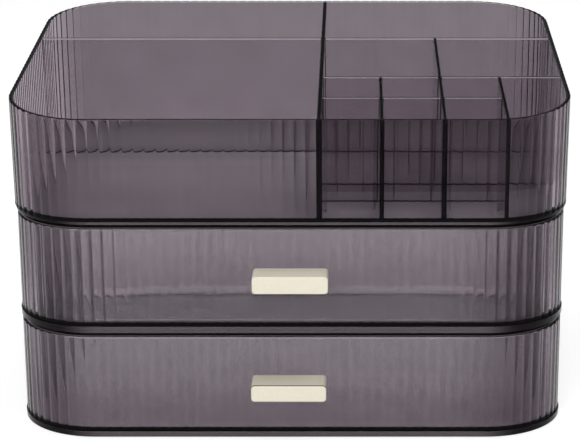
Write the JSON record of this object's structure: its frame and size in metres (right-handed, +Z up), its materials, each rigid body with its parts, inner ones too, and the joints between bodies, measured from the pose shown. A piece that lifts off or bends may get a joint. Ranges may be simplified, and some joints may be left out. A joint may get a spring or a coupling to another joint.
{
  "type": "makeup drawer organizer",
  "caption": "Fluted smoky clear organizer with round corners: an open divided tray with a rim rising to the back, above pull-out drawers with bar handles.",
  "frame": {"origin": "middle of the underside of the base plate", "axes": "+X to the right along the width, +Y to the back, +Z up; the drawers open towards -Y"},
  "size_m": [0.3034, 0.2403, 0.2009],
  "materials": {
    "smoke_plastic": "clear moulded plastic, smoky mauve grey, glossy",
    "champagne_lacquer": "pale champagne lacquer, satin",
    "screw_steel": "plain zinc-plated steel"
  },
  "bodies": {
    "case": {"base_plate": "smoke_plastic", "lower_case_wall": "smoke_plastic", "middle_shelf": "smoke_plastic", "upper_case_wall": "smoke_plastic", "top_deck": "smoke_plastic", "tray_locating_studs": "smoke_plastic"},
    "tray": {"tray_shell": "smoke_plastic", "tray_long_divider": "smoke_plastic", "tray_inner_column_divider": "smoke_plastic", "tray_middle_column_divider": "smoke_plastic", "tray_outer_column_divider": "smoke_plastic", "tray_rear_cross_divider": "smoke_plastic", "tray_middle_cross_divider": "smoke_plastic", "tray_front_cross_divider": "smoke_plastic"},
    "upper_drawer": {"upper_drawer_tub": "smoke_plastic", "upper_drawer_handle": "champagne_lacquer", "upper_drawer_handle_screws": "screw_steel"},
    "lower_drawer": {"lower_drawer_tub": "smoke_plastic", "lower_drawer_handle": "champagne_lacquer", "lower_drawer_handle_screws": "screw_steel"}
  },
  "joints": [
    {"name": "tray_lift", "type": "slide", "parent": "case", "child": "tray", "axis": [0, 0, 1], "range_m": [0, 0.1]},
    {"name": "upper_drawer_slide", "type": "slide", "parent": "case", "child": "upper_drawer", "axis": [0, -1, 0], "range_m": [0, 0.15]},
    {"name": "lower_drawer_slide", "type": "slide", "parent": "case", "child": "lower_drawer", "axis": [0, -1, 0], "range_m": [0, 0.15]}
  ]
}
